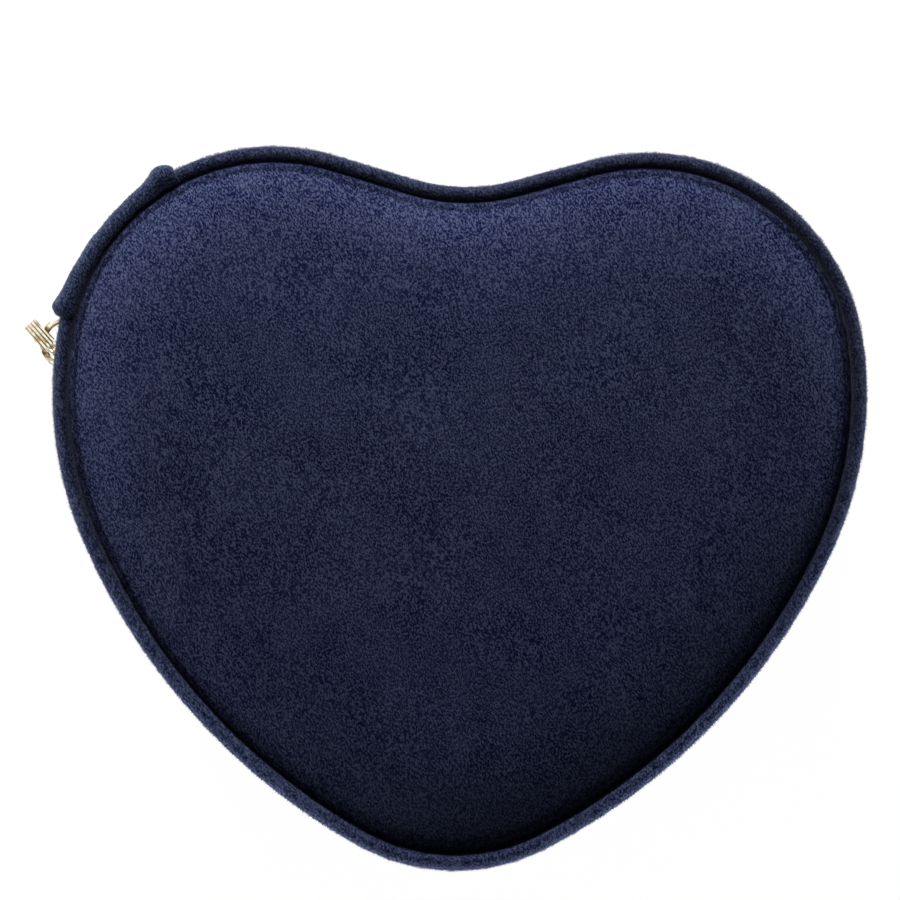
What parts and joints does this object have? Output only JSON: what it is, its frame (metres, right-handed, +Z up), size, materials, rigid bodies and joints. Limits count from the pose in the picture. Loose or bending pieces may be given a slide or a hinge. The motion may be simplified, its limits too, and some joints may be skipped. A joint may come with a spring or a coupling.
{
  "type": "heart jewellery box",
  "caption": "Heart-shaped velvet jewellery box with a padded hinged lid, a zip round its side, lined compartments, padded ring rolls and a mirror in the lid.",
  "frame": {"origin": "middle of the heart outline on the flat face that the box rests on", "axes": "+Z up out of the lid, the tip of the heart towards -Y, the hinge strip and the zip slider on the -X lobe"},
  "size_m": [0.1557, 0.1326, 0.05],
  "materials": {
    "velvet": "short-pile navy velvet",
    "suede_lining": "navy suede-like lining",
    "greyboard": "stiff grey board",
    "foam": "soft foam sheet",
    "zip_tape": "woven navy tape",
    "zip_teeth": "moulded navy resin",
    "gold_plate": "polished pale gold plating",
    "mirror": "silvered acrylic"
  },
  "bodies": {
    "base": {"base_bottom_velvet": "velvet", "base_board": "greyboard", "base_piping": "velvet", "base_wall_velvet": "velvet", "base_wall_board": "greyboard", "base_floor_pad": "suede_lining", "base_wall_lining": "suede_lining", "lobe_divider": "suede_lining", "tip_divider": "suede_lining", "notch_divider": "suede_lining", "zip_tape_lower": "zip_tape", "zip_teeth_lower": "zip_teeth", "hinge_strip_lower": "velvet", "ring_roll_1": "suede_lining", "ring_roll_2": "suede_lining", "ring_roll_3": "suede_lining", "ring_roll_4": "suede_lining"},
    "lid": {"lid_wall_velvet": "velvet", "lid_wall_board": "greyboard", "lid_wall_lining": "suede_lining", "lid_lining_panel": "suede_lining", "lid_mirror": "mirror", "lid_board": "greyboard", "lid_piping": "velvet", "lid_foam": "foam", "lid_top_velvet": "velvet", "zip_tape_upper": "zip_tape", "zip_teeth_upper": "zip_teeth", "hinge_strip_upper": "velvet"},
    "slider": {"slider_body": "gold_plate"},
    "pull_link": {"pull_link": "gold_plate"},
    "pull_tab": {"pull_tab": "gold_plate"}
  },
  "joints": [
    {"name": "lid_hinge", "type": "hinge", "parent": "base", "child": "lid", "pos_m": [-0.0656, 0.05012, 0.029], "axis": [-0.6088, -0.7934, 0], "range_deg": [0, 110]},
    {"name": "slider_travel", "type": "hinge", "parent": "base", "child": "slider", "pos_m": [-0.0058, 0.02151, 0.029], "axis": [0, 0, 1], "range_deg": [0, 26]},
    {"name": "pull_link_swing", "type": "hinge", "parent": "slider", "child": "pull_link", "pos_m": [-0.07722, 0.03066, 0.029], "axis": [0.1271, 0.9919, 0], "range_deg": [0, 80]},
    {"name": "pull_tab_swing", "type": "hinge", "parent": "pull_link", "child": "pull_tab", "pos_m": [-0.07742, 0.03088, 0.0249], "axis": [-0.6782, 0.7349, 0], "range_deg": [-4, 60]}
  ]
}
